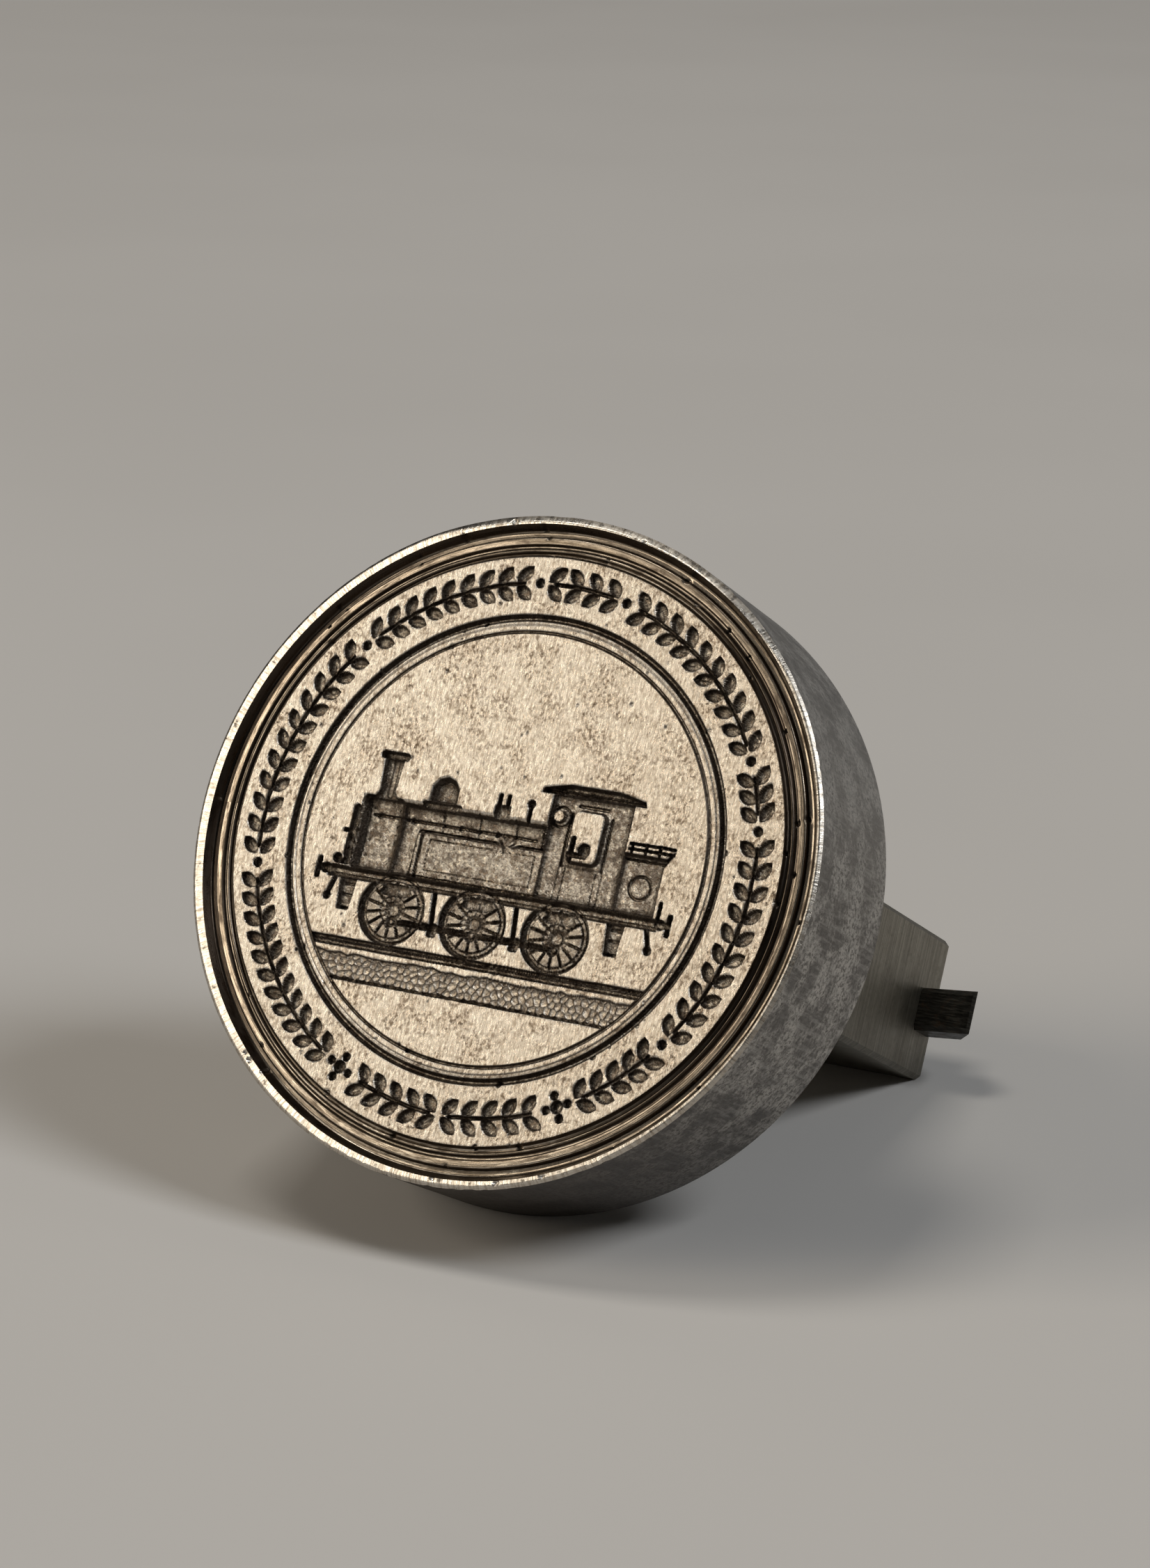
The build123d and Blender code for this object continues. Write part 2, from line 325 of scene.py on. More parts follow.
# How far a leaf's root lies behind its pair's place on the stem, and beside the stem's middle
LEAF_BACKSET, LEAF_ASIDE = 0.6, 0.1
RIB_WIDTH, RIB_RISE = 0.16, 0.1
STEM_WIDTH, STEM_DEPTH = 0.36, 0.36


def place(angle, along, out):
    """A point of the border: along the circle and outwards from it, in millimetres, at an angle."""
    turn = math.radians(angle)
    radius = BORDER_RADIUS + out
    turn += along / BORDER_RADIUS
    return TURNING_OFFSET + radius * math.cos(turn), radius * math.sin(turn)


def leaf(relief, root, tip):
    """A pointed leaf between two points, with a bright floor and a midrib."""
    ux, uy = tip[0] - root[0], tip[1] - root[1]
    length = math.hypot(ux, uy)
    ux, uy = ux / length, uy / length
    mx, my = (root[0] + tip[0]) / 2, (root[1] + tip[1]) / 2
    arc = (LEAF_WIDTH**2 + length**2) / (4 * LEAF_WIDTH)

    def distance(x, y):
        across = np.abs((x - mx) * -uy + (y - my) * ux) + arc - LEAF_WIDTH / 2
        along = (x - mx) * ux + (y - my) * uy
        return np.hypot(across, along) - arc

    reach = length / 2
    outline = ((mx - reach, mx + reach, my - reach, my + reach), distance)
    relief.sink(outline, LEAF_DEPTH, wall=0.19, reach=0.24)
    rib = bar(root[0], root[1], tip[0] - 0.3 * ux, tip[1] - 0.3 * uy, RIB_WIDTH)
    relief.add(rib, -RIB_RISE, wall=0.09)


def garland(relief, start, end):
    """Leaf pairs on a stem between two angles, all pointing towards the top of the face."""
    count = max(round((end - start) / PAIR_PITCH) + 1, 1)
    pitch = (end - start) / max(count - 1, 1)
    spread = math.radians(LEAF_SPREAD)
    forward, outward = LEAF_LENGTH * math.cos(spread), LEAF_LENGTH * math.sin(spread)
    previous = None
    for number in range(count):
        angle = start + number * pitch
        way = 1 if BORDER_FOOT - 360 < angle <= BORDER_TOP else -1
        for side in (-1, 1):
            root = place(angle, -LEAF_BACKSET * way, LEAF_ASIDE * side)
            tip = place(angle, way * (forward - LEAF_BACKSET), side * outward)
            leaf(relief, root, tip)
        if previous is not None:
            stem = bar(*place(previous, 0, 0), *place(angle, 0, 0), STEM_WIDTH)
            relief.sink(stem, STEM_DEPTH, wall=0.17)
        previous = angle


def border(relief):
    """Garlands of leaves between dots and four-dot crosses."""
    for angle in BORDER_DOTS:
        relief.sink(disc(*place(angle, 0, 0), DOT_RADIUS), 0.46, wall=0.2)
    for angle in BORDER_CROSSES:
        relief.sink(disc(*place(angle, 0, 0), CROSS_CENTRE_RADIUS), 0.5, wall=0.22)
        for along, out in ((-CROSS_ARM, 0), (CROSS_ARM, 0), (0, -CROSS_ARM), (0, CROSS_ARM)):
            relief.sink(disc(*place(angle, along, out), CROSS_DOT_RADIUS), 0.42, wall=0.18)
    breaks = [(angle, DOT_GAP) for angle in BORDER_DOTS]
    breaks += [(angle, CROSS_GAP) for angle in BORDER_CROSSES]
    breaks = sorted(breaks + [(BORDER_FOOT, FOOT_GAP)])
    first_angle, first_gap = breaks[0]
    following = breaks[1:] + [(first_angle + 360, first_gap)]
    for (start, gap), (end, next_gap) in zip(breaks, following):
        turn = 360 if start >= BORDER_FOOT else 0
        garland(relief, start + gap - turn, end - next_gap - turn)


# ---------------------------------------------------------------- the emblem

# A side-tank engine on its track. Its x and y are millimetres from the middle of the turned face.
RAIL_TOP = -8.6
TRACK_HALF = 14.9
BALLAST_TOP, BALLAST_FOOT = -9.55, -11.65
WHEEL_RADIUS = 2.75
WHEEL_XS = [-7.6, -0.9, 5.8]
SPOKES = 14
FOOT_TOP, FOOT_BOTTOM = -3.3, -4.0
BUFFER_Y = -3.62
BUFFER_BEAM = 13.2
BOILER_TOP = 2.2
RIVET_RADIUS, RIVET_DEPTH = 0.11, 0.1
# The ballast's stones: their pitch, the height of a row in pitches, how far a stone strays from
# its place in pitches, the depth of its dimple, and the painted shade round it
STONE_PITCH = 0.58
STONE_ROW = 0.87
STONE_STRAY = 0.3
STONE_DIMPLE = 0.1
STONE_SHADE = 0.62


def stones(relief, outline, pitch, seed):
    """Packs an area with round stones: a dimple each, with a line of painted shade round it."""
    at, share = relief.share(outline, 0.2)
    x, y = relief.wobble_x[at], relief.wobble_y[at]
    left, right, bottom, top = outline[0]
    rng = np.random.default_rng(seed)
    nearest, second = np.full(len(at), 9.0), np.full(len(at), 9.0)
    for row in range(int((top - bottom) / pitch / STONE_ROW) + 2):
        for column in range(int((right - left) / pitch) + 2):
            stray_x = rng.uniform(-STONE_STRAY, STONE_STRAY) * pitch
            stray_y = rng.uniform(-STONE_STRAY, STONE_STRAY) * pitch
            cx = left + (column + 0.5 * (row % 2)) * pitch + stray_x
            cy = bottom + row * pitch * STONE_ROW + stray_y
            close = np.abs(x - cx) < 2 * pitch
            away = np.hypot(x[close] - cx, y[close] - cy)
            was, then = nearest[close], second[close]
            second[close] = np.minimum(then, np.maximum(was, away))
            nearest[close] = np.minimum(was, away)
    inside = smooth((second - nearest) / (0.5 * pitch))
    relief.depth[at] += STONE_DIMPLE * inside * share
    # A line of painted shade where stones meet
    seam = STONE_SHADE * (1 - smooth((second - nearest) / (0.3 * pitch)))
    relief.wall[at] = np.maximum(relief.wall[at], seam * share)


def track(relief):
    """A rail, and a bank of round ballast stones with a ragged top."""
    half = TRACK_HALF
    relief.sink(rect(-half, half, -9.22, -8.45), 0.34, wall=0.16)
    relief.add(bar(-half, -8.78, half, -8.78, 0.2), -0.2, wall=0.1)
    relief.add(bar(-half, -9.1, half, -9.1, 0.16), 0.14, wall=0.08)
    relief.clear_shade(bar(-half, -8.94, half, -8.94, 0.13))
    rng = np.random.default_rng(SEED)
    top = [(-13.6 + 0.55 * k, BALLAST_TOP + rng.uniform(-0.13, 0.1)) for k in range(50)]
    bed = shape(*top, (11.9, BALLAST_FOOT), (-12.2, BALLAST_FOOT))
    relief.sink(bed, 0.09, wall=0.16)
    relief.add(bar(-12.1, -11.5, 11.8, -11.5, 0.3), 0.16, wall=0.14)
    relief.clear_shade(bed, edge=0.5)
    stones(relief, bed, STONE_PITCH, SEED + 3)


def wheel(relief, cx):
    """A spoked wheel with its tyre, hub and balance weight."""
    radius = WHEEL_RADIUS
    cy = RAIL_TOP + radius
    relief.sink(disc(cx, cy, radius), 0.34, wall=0.2)
    relief.fill(ring(cx, cy, (radius - 0.2) / 2 + 0.3, radius - 1.5), 0.16, wall=0.1)
    relief.add(ring(cx, cy, radius - 0.24, 0.34), 0.16, wall=0.14)
    relief.add(ring(cx, cy, radius - 0.62, 0.16), 0.1, wall=0.08)
    for number in range(SPOKES):
        turn = 2 * math.pi * (number + 0.5) / SPOKES
        c, s = math.cos(turn), math.sin(turn)
        spoke = (cx + 0.4 * c, cy + 0.4 * s, cx + (radius - 0.5) * c, cy + (radius - 0.5) * s)
        relief.sink(bar(*spoke, 0.34), 0.46, wall=0.15)
        relief.clear_shade(bar(*spoke, 0.1))
    relief.sink(disc(cx, cy, 0.8), 0.52, wall=0.2)
    relief.add(ring(cx, cy, 0.42, 0.14), -0.16, wall=0.07)
    weight = shape(
        (cx - 1.5, cy + 1.2), (cx - 0.9, cy + 0.9), (cx + 0.9, cy + 0.9),
        (cx + 1.5, cy + 1.2), (cx + 0.9, cy + 2.0), (cx - 0.9, cy + 2.0),
    )
    relief.sink(weight, 0.46, wall=0.2)


def spring(relief, cx):
    """A leaf spring and its hangers between the footplate and a wheel."""
    relief.sink(bar(cx - 1.1, FOOT_BOTTOM - 0.1, cx + 1.1, FOOT_BOTTOM - 0.1, 0.44), 0.5, wall=0.18)
    relief.sink(rect(cx - 0.3, cx + 0.3, FOOT_BOTTOM - 1.0, FOOT_BOTTOM), 0.5, wall=0.16)
    relief.add(rect(cx - 0.16, cx + 0.16, FOOT_BOTTOM - 0.85, FOOT_BOTTOM - 0.3), -0.14, wall=0.07)


def running_gear(relief):
    """The three wheels seen, with rods, brake hangers, steps, buffers and guard irons."""
    for cx in WHEEL_XS:
        wheel(relief, cx)
    for cx in WHEEL_XS:
        spring(relief, cx)
    rod_y = RAIL_TOP + WHEEL_RADIUS - 0.85
    relief.sink(bar(WHEEL_XS[0], rod_y, WHEEL_XS[-1], rod_y, 0.62), 0.58, wall=0.2)
    relief.add(bar(WHEEL_XS[0], rod_y, WHEEL_XS[-1], rod_y, 0.2), -0.2, wall=0.1)
    for cx in WHEEL_XS:
        relief.sink(disc(cx, rod_y, 0.56), 0.62, wall=0.2)
        relief.add(disc(cx, rod_y, 0.24), -0.2, wall=0.12)
    for cx in (-4.25, 2.45):
        hanger = bar(cx - 0.12, FOOT_BOTTOM - 0.3, cx + 0.2, RAIL_TOP + 1.4, 0.46)
        block = rect(cx - 0.15, cx + 0.7, RAIL_TOP + 1.2, RAIL_TOP + 2.3, corner=0.2)
        relief.sink(hanger, 0.5, wall=0.2)
        relief.sink(block, 0.46, wall=0.18)
    for cx in (-11.6, 10.3):
        steps = shape(
            (cx - 0.75, FOOT_BOTTOM), (cx + 0.75, FOOT_BOTTOM), (cx + 0.5, -6.5), (cx - 0.5, -6.5)
        )
        relief.sink(steps, 0.44, wall=0.2)
        for y in (-6.3, -5.3, -4.5):
            relief.add(bar(cx - 0.4, y, cx + 0.4, y, 0.3), 0.16, wall=0.12)
    for way, end in ((-1, -BUFFER_BEAM), (1, BUFFER_BEAM)):
        relief.sink(bar(end, BUFFER_Y, end + way * 0.9, BUFFER_Y, 0.6), 0.54, wall=0.2)
        relief.sink(disc(end + way * 0.45, BUFFER_Y, 0.44), 0.56, wall=0.2)
        head_x = end + way * 1.1
        relief.sink(rect(head_x - 0.24, head_x + 0.24, -4.5, -2.75, corner=0.2), 0.54, wall=0.2)
        relief.sink(bar(end - way * 0.5, -4.1, end - way * 0.15, -5.3, 0.46), 0.46, wall=0.2)
        relief.sink(disc(end - way * 0.1, -5.6, 0.36), 0.46, wall=0.18)


def footplate(relief):
    """The long plate between the wheels and the boiler, with its beaded edge."""
    relief.sink(rect(-13.5, 13.5, FOOT_BOTTOM - 0.2, FOOT_TOP + 0.05), 0.56, wall=0.26)
    relief.add(rect(-13.15, 13.15, FOOT_BOTTOM + 0.16, FOOT_TOP - 0.14), -0.16, wall=0.1)
    relief.add(bar(-13.2, FOOT_TOP - 0.02, 13.2, FOOT_TOP - 0.02, 0.2), 0.14, wall=0.1)
    relief.clear_shade(rect(-13.0, 13.0, FOOT_BOTTOM + 0.22, FOOT_TOP - 0.2), edge=0.1)


def boiler(relief):
    """Smokebox, boiler, bands, handrail, chimney, dome and safety valve."""
    smokebox = rect(-12.0, -8.6, FOOT_TOP - 0.05, BOILER_TOP + 0.2, corner=0.35)
    barrel = rect(-8.8, 3.2, FOOT_TOP - 0.05, BOILER_TOP)
    relief.sink(smokebox, 0.5, wall=0.42)
    relief.sink(barrel, 0.46, wall=0.42)
    relief.barrel(rect(-12.0, 3.2, FOOT_TOP, BOILER_TOP + 0.2), -0.5, 2.8, 0.4)
    for x in (-11.6, -8.72, -5.4, -2.4, 0.6, 2.8):
        relief.add(bar(x, -2.9, x, BOILER_TOP - 0.1, 0.24), 0.14, wall=0.11)
    for y in (1.5, 0.3, -0.9, -2.1):
        relief.add(disc(-11.2, y, 0.15), 0.12, wall=0.1)
        relief.add(disc(-9.1, y, 0.15), 0.12, wall=0.1)
    relief.sink(rect(-12.6, -11.95, -2.7, 1.5, corner=0.3), 0.42, wall=0.22)
    relief.sink(bar(-12.85, -0.6, -12.5, -0.6, 0.4), 0.4, wall=0.18)
    relief.add(bar(-11.2, 0.98, 2.2, 0.98, 0.32), 0.24, wall=0.16)
    for x in (-10.7, -7.9, -3.9, -0.9):
        relief.add(disc(x, 0.95, 0.28), 0.16, wall=0.14)
    chimney = shape(
        (-11.35, 2.0), (-9.0, 2.0), (-9.5, 2.75), (-9.3, 5.3), (-11.05, 5.3), (-10.85, 2.75)
    )
    relief.sink(chimney, 0.5, wall=0.26)
    relief.add(bar(-10.15, 2.5, -10.15, 5.0, 0.7), 0.12, wall=0.3)
    relief.sink(rect(-11.4, -8.95, 5.1, 5.75, corner=0.28), 0.54, wall=0.2)
    relief.sink(rect(-7.2, -3.8, 1.9, 2.55, corner=0.25), 0.44, wall=0.2)
    dome = shape(
        (-6.75, 2.2), (-4.25, 2.2), (-4.3, 3.7), (-4.75, 4.35), (-5.5, 4.65), (-6.25, 4.35),
        (-6.7, 3.7),
    )
    relief.sink(dome, 0.6, wall=0.6)
    relief.add(bar(-6.5, 2.55, -4.5, 2.55, 0.2), -0.14, wall=0.1)
    relief.sink(rect(-1.3, 0.1, 1.9, 3.1, corner=0.2), 0.46, wall=0.2)
    for x in (-0.95, -0.25):
        relief.sink(bar(x, 3.0, x, 3.75, 0.42), 0.44, wall=0.18)
    relief.sink(bar(1.6, 2.0, 1.6, 3.3, 0.4), 0.44, wall=0.18)
    relief.sink(disc(1.6, 3.45, 0.36), 0.46, wall=0.18)
    relief.sink(shape((-12.9, -3.2), (-11.9, -3.2), (-11.9, -1.9), (-12.3, -2.4)), 0.42, wall=0.2)
    relief.sink(disc(-12.95, -2.75, 0.42), 0.46, wall=0.2)


def side_tank(relief):
    """A long tank with a beaded edge, rivets and a filler."""
    tank = rect(-7.3, 3.3, FOOT_TOP, 0.4, corner=0.15)
    relief.fill(tank, 0.4, wall=0.12)
    relief.sink(tank, 0.4, wall=0.12)
    for x in (-7.2, -6.7):
        relief.add(bar(x, -3.1, x, 0.3, 0.34), 0.26, wall=0.16)
    relief.add(bar(-7.1, 0.3, 3.2, 0.3, 0.42), 0.28, wall=0.2)
    relief.add(bar(-7.1, -3.1, 3.2, -3.1, 0.24), 0.2, wall=0.11)
    for y in (-2.55, -0.25):
        relief.add(bar(-6.0, y, 2.6, y, 0.16), 0.12, wall=0.08)
    for x in (-6.0, 2.6):
        relief.add(bar(x, -2.55, x, -0.25, 0.16), 0.12, wall=0.08)
    for number in range(18):
        for y in (0.02, -2.82):
            relief.add(disc(-6.2 + 0.52 * number, y, RIVET_RADIUS), RIVET_DEPTH, wall=0.09)
    relief.sink(rect(-4.3, -2.9, 0.35, 0.85, corner=0.15), 0.5, wall=0.16)
    relief.sink(bar(-4.0, 0.95, -3.2, 0.95, 0.26), 0.48, wall=0.12)


def cab_and_bunker(relief):
    """The cab with its roof, spectacle, doorway and beading, and the coal bunker behind it."""
    walls = shape((3.1, FOOT_TOP), (3.1, 4.7), (9.7, 4.7), (9.7, FOOT_TOP))
    roof = shape((2.1, 4.45), (2.25, 4.95), (4.4, 5.4), (8.3, 5.4), (10.5, 4.95), (10.65, 4.45))
    relief.sink(walls, 0.48, wall=0.32)
    relief.sink(roof, 0.62, wall=0.28)
    relief.add(bar(2.6, 4.86, 10.2, 4.86, 0.24), -0.2, wall=0.12)
    relief.fill(rect(4.9, 7.8, -0.4, 3.75, corner=0.7), 0.0, wall=0.3)
    relief.add(bar(4.72, -0.5, 4.72, 3.3, 0.34), 0.24, wall=0.16)
    relief.add(bar(7.98, -0.5, 7.98, 3.3, 0.34), 0.24, wall=0.16)
    relief.add(bar(5.2, 3.95, 7.5, 3.95, 0.34), 0.24, wall=0.16)
    relief.sink(bar(5.5, -0.2, 5.5, 1.5, 0.46), 0.46, wall=0.2)
    relief.sink(bar(5.1, 0.3, 6.6, 0.3, 0.5), 0.46, wall=0.2)
    relief.sink(disc(6.5, 0.75, 0.55), 0.46, wall=0.2)
    relief.sink(rect(4.6, 8.1, -0.75, -0.3), 0.54, wall=0.16)
    relief.fill(disc(3.95, 2.95, 0.5), 0.02, wall=0.12)
    relief.add(ring(3.95, 2.95, 0.72, 0.26), 0.2, wall=0.12)
    for x in (4.62, 5.1, 7.6, 8.08):
        relief.sink(bar(x, FOOT_TOP + 0.15, x, -0.6, 0.3), 0.62, wall=0.15)
    for number in range(13):
        for x in (3.45, 9.25):
            relief.add(disc(x, -2.9 + 0.55 * number, RIVET_RADIUS), RIVET_DEPTH, wall=0.09)
    bunker = shape(
        (9.5, FOOT_TOP), (9.5, 1.2), (13.0, 1.2), (13.5, 1.75), (13.75, 1.7), (13.0, 0.4),
        (13.0, FOOT_TOP),
    )
    relief.sink(bunker, 0.48, wall=0.32)
    relief.add(bar(9.8, 0.75, 12.9, 0.75, 0.24), 0.2, wall=0.12)
    for y in (1.45, 1.85):
        relief.sink(bar(10.0, y, 13.5, y, 0.26), 0.42, wall=0.12)
    for x in (10.2, 11.3, 12.4):
        relief.sink(bar(x, 1.2, x, 1.9, 0.26), 0.42, wall=0.12)
    relief.add(ring(11.25, -1.2, 0.85, 0.32), 0.22, wall=0.15)
    relief.sink(bar(13.35, -3.2, 13.35, -2.1, 0.36), 0.44, wall=0.16)
    relief.add(bar(9.62, FOOT_TOP + 0.2, 9.62, 4.4, 0.24), 0.16, wall=0.11)


def emblem(relief):
    """The engine and its track, in the order in which they are cut."""
    track(relief)
    boiler(relief)
    cab_and_bunker(relief)
    side_tank(relief)
    footplate(relief)
    running_gear(relief)


# ---------------------------------------------------------------- wear

# Radii from the turning centre at which the turned rings have sharp edges
RING_EDGES = [16.1, 17.0, 17.45, 21.9, 22.3, 22.8, 23.4, 24.1, 24.5]
EDGE_DENTS = 60
PITS = 130
PITTED_RADIUS = 21.6


def wear(relief):
    """Dents in the edges of the rings, and pits all over the face."""
    rng = np.random.default_rng(SEED + 30)

    def dent(radius, size, depth):
        turn = rng.uniform(0, 2 * math.pi)
        x, y = TURNING_OFFSET + radius * math.cos(turn), radius * math.sin(turn)
        relief.add(disc(x, y, size), depth, wall=0.1)

    for _ in range(EDGE_DENTS):
        radius = rng.choice(RING_EDGES) + rng.normal(0, 0.06)
        dent(radius, rng.uniform(0.12, 0.27), rng.uniform(0.12, 0.24))
    for _ in range(PITS):
        radius = PITTED_RADIUS * math.sqrt(rng.uniform())
        dent(radius, rng.uniform(0.08, 0.16), rng.uniform(0.05, 0.12))


# ---------------------------------------------------------------- the head's mesh

FINE_SEGMENTS = 1200
SIDE_SEGMENTS = 300
MIDDLE_SEGMENTS = 75
# Rings of points on the face, from the rim inwards: outer and inner radius, step between rings,
# and points in each. Every number of points divides the one before it.
FACE_BANDS = [
    (LAND_START, 21.8, 0.06, FINE_SEGMENTS),
    (21.8, 17.8, 0.09, FINE_SEGMENTS),
    (17.8, 16.0, 0.06, FINE_SEGMENTS),
    (16.0, 8.0, 0.085, FINE_SEGMENTS),
    (8.0, 4.0, 0.085, 600),
    (4.0, 2.0, 0.085, 300),
    (2.0, 1.0, 0.085, 150),
]
MIDDLE_RADII = [1.0, 0.6, 0.3]
# The field's material gives way to the moat's at this radius
FIELD_EDGE = 21.9
# Where the rings of points lie across the rim's land, from its start to its edge
LAND_SHARES = [0.12, 0.25, 0.4, 0.55, 0.68, 0.8, 0.9, 1.0]
BACK_BEVEL = 0.3
SIDE_DEPTHS = [0.7, 1.6, 3.0, 5.0, 7.0, 9.0, 11.0, 12.4]
SIDE_DEPTHS += [HEAD_THICKNESS - 0.45, HEAD_THICKNESS - BACK_BEVEL]
BORE_RADIUS = 4.5
BORE_DEPTH = 8.5
BACK_RADII = [24.3, 20.0, 15.0, 10.0, 6.5, BORE_RADIUS]
# Deepest nick in the rim's edge
NICK_DEPTH = 0.05
# Edges that turn by more degrees than this are shaded as sharp
SHARP_ANGLE = 40


def face_rows():
    """Radii of the rings of points on the face, from the rim inwards, with the points in each."""
    rows = []
    for outer, inner, step, segments in FACE_BANDS:
        count = round((outer - inner) / step)
        rows += [(outer - (outer - inner) * k / count, segments) for k in range(count)]
    return rows + [(radius, MIDDLE_SEGMENTS) for radius in MIDDLE_RADII]


def circle(radius, segments, shift=0.0):
    """A ring of points, with its middle shifted along x."""
    turn = 2 * np.pi * np.arange(segments) / segments
    return np.stack([radius * np.cos(turn) + shift, radius * np.sin(turn)], 1)


def nicked(points, seed):
    """Pulls points of the rim's edge in a little, here and there."""
    arc = np.arctan2(points[:, 1], points[:, 0]) * HEAD_RADIUS
    small = value_noise(arc + 200, arc * 0, 0.5, seed)
    large = value_noise(arc + 200, arc * 0, 3.0, seed + 1)
    pull = NICK_DEPTH * np.clip(small + 0.6 * large - 0.35, 0, None)
    return points * (1 - pull / HEAD_RADIUS)[:, None]


def head_rings():
    """The rings of points of the face, from its middle to the rim's edge.

    Each is (points, zone, depth of each point below the field, painted shade on each point).
    """
    rings = [
        (circle(radius, count, TURNING_OFFSET), "field" if radius < FIELD_EDGE else "moat")
        for radius, count in face_rows()
    ]
    rings.reverse()
    inner = circle(LAND_START, FINE_SEGMENTS, TURNING_OFFSET)
    outer = nicked(circle(HEAD_RADIUS, FINE_SEGMENTS), SEED + 10)
    for share in LAND_SHARES:
        rings.append((inner * (1 - share) + outer * share, "land"))
    flat = np.concatenate([points for points, _ in rings])
    x, y = flat[:, 0], flat[:, 1]
    relief = Relief(x - TURNING_OFFSET, y, turned_depth(x, y))
    # Painted shade on the steep walls of the lathe work
    relief.wall = turned_wall(x, y)
    turned = relief.wall.copy()
    emblem(relief)
    beyond = np.hypot(x - TURNING_OFFSET, y) > EMBLEM_REACH
    relief.depth[beyond], relief.wall[beyond] = relief.ground[beyond], turned[beyond]
    # The emblem is drawn from the turning centre; the border and the wear from the head's axis
    relief.wobble_x += TURNING_OFFSET
    border(relief)
    wear(relief)
    cut = relief.depth - relief.ground
    below = relief.depth - FIELD_DEPTH
    # A slight ripple in the cut metal, and tool marks on the floors of the engraving
    hand = 0.006 * value_noise(x, y, 1.7, SEED + 20)
    tooled = 0.035 * value_noise(x, y, 0.45, SEED + 21)
    depth = relief.depth + hand * (relief.ground > 0.1) + tooled * smooth((cut - 0.15) / 0.2)
    placed, at = [], 0
    for points, zone in rings:
        count = len(points)
        part = slice(at, at + count)
        solid = np.column_stack([points, -depth[part]])
        placed.append((solid, zone, below[part], relief.wall[part]))
        at += count
    return placed


def side_rings():
    """The head's side, back edge, back and bore, as rings of points like those of the face."""
    rings = [(circle(HEAD_RADIUS, SIDE_SEGMENTS), depth, "side") for depth in SIDE_DEPTHS]
    rings.append((circle(HEAD_RADIUS - BACK_BEVEL, SIDE_SEGMENTS), HEAD_THICKNESS, "side"))
    for radius in BACK_RADII:
        rings.append((circle(radius, SIDE_SEGMENTS), HEAD_THICKNESS, "back"))
    rings.append((circle(BORE_RADIUS, SIDE_SEGMENTS), HEAD_THICKNESS - BORE_DEPTH, "back"))
    rings.append((circle(1.0, MIDDLE_SEGMENTS), HEAD_THICKNESS - BORE_DEPTH, "back"))
    placed = []
    for points, depth, zone in rings:
        # No cut and no painted shade on the side and back
        unmarked = np.zeros(len(points))
        placed.append((np.column_stack([points, unmarked - depth]), zone, unmarked, unmarked))
    return placed


ZONES = ["field", "moat", "land", "side", "back"]


def die_head():
    """The head as one closed mesh, from the middle of its face round to the bore in its back."""
    rings = head_rings() + side_rings()
    points, cuts, walls = (np.concatenate([one[k] for one in rings]) for k in (0, 2, 3))
    faces, zones = [list(range(len(rings[0][0])))], [0]
    start = 0
    for (one, *_), (other, zone, *_) in zip(rings, rings[1:]):
        n, m = len(one), len(other)
        after = start + n
        coarse = min(n, m)
        for k in range(coarse):
            one_part = [start + (k * (n // coarse) + j) % n for j in range(n // coarse + 1)]
            other_part = [after + (k * (m // coarse) + j) % m for j in range(m // coarse + 1)]
            faces.append(one_part[::-1] + other_part)
            zones.append(ZONES.index(zone))
        start = after
    faces.append(list(range(start, start + len(rings[-1][0])))[::-1])
    zones.append(ZONES.index("back"))
    mesh = bpy.data.meshes.new("die_head")
    mesh.from_pydata(to_row(points).tolist(), [], faces)
    mesh.polygons.foreach_set("material_index", zones)
    mesh.polygons.foreach_set("use_smooth", [True] * len(faces))
    for name, values in (("cut", cuts), ("wall", walls)):
        attribute = mesh.attributes.new(name, "FLOAT", "POINT")
        attribute.data.foreach_set("value", values.astype(np.float32))
    mesh.update()
    mesh.set_sharp_from_angle(angle=math.radians(SHARP_ANGLE))
    piece = bpy.data.objects.new("engraved_head", mesh)
    bpy.context.scene.collection.objects.link(piece)
    for zone in ZONES:
        mesh.materials.append(HEAD_MATERIALS[zone]())
    return piece


# ---------------------------------------------------------------- materials

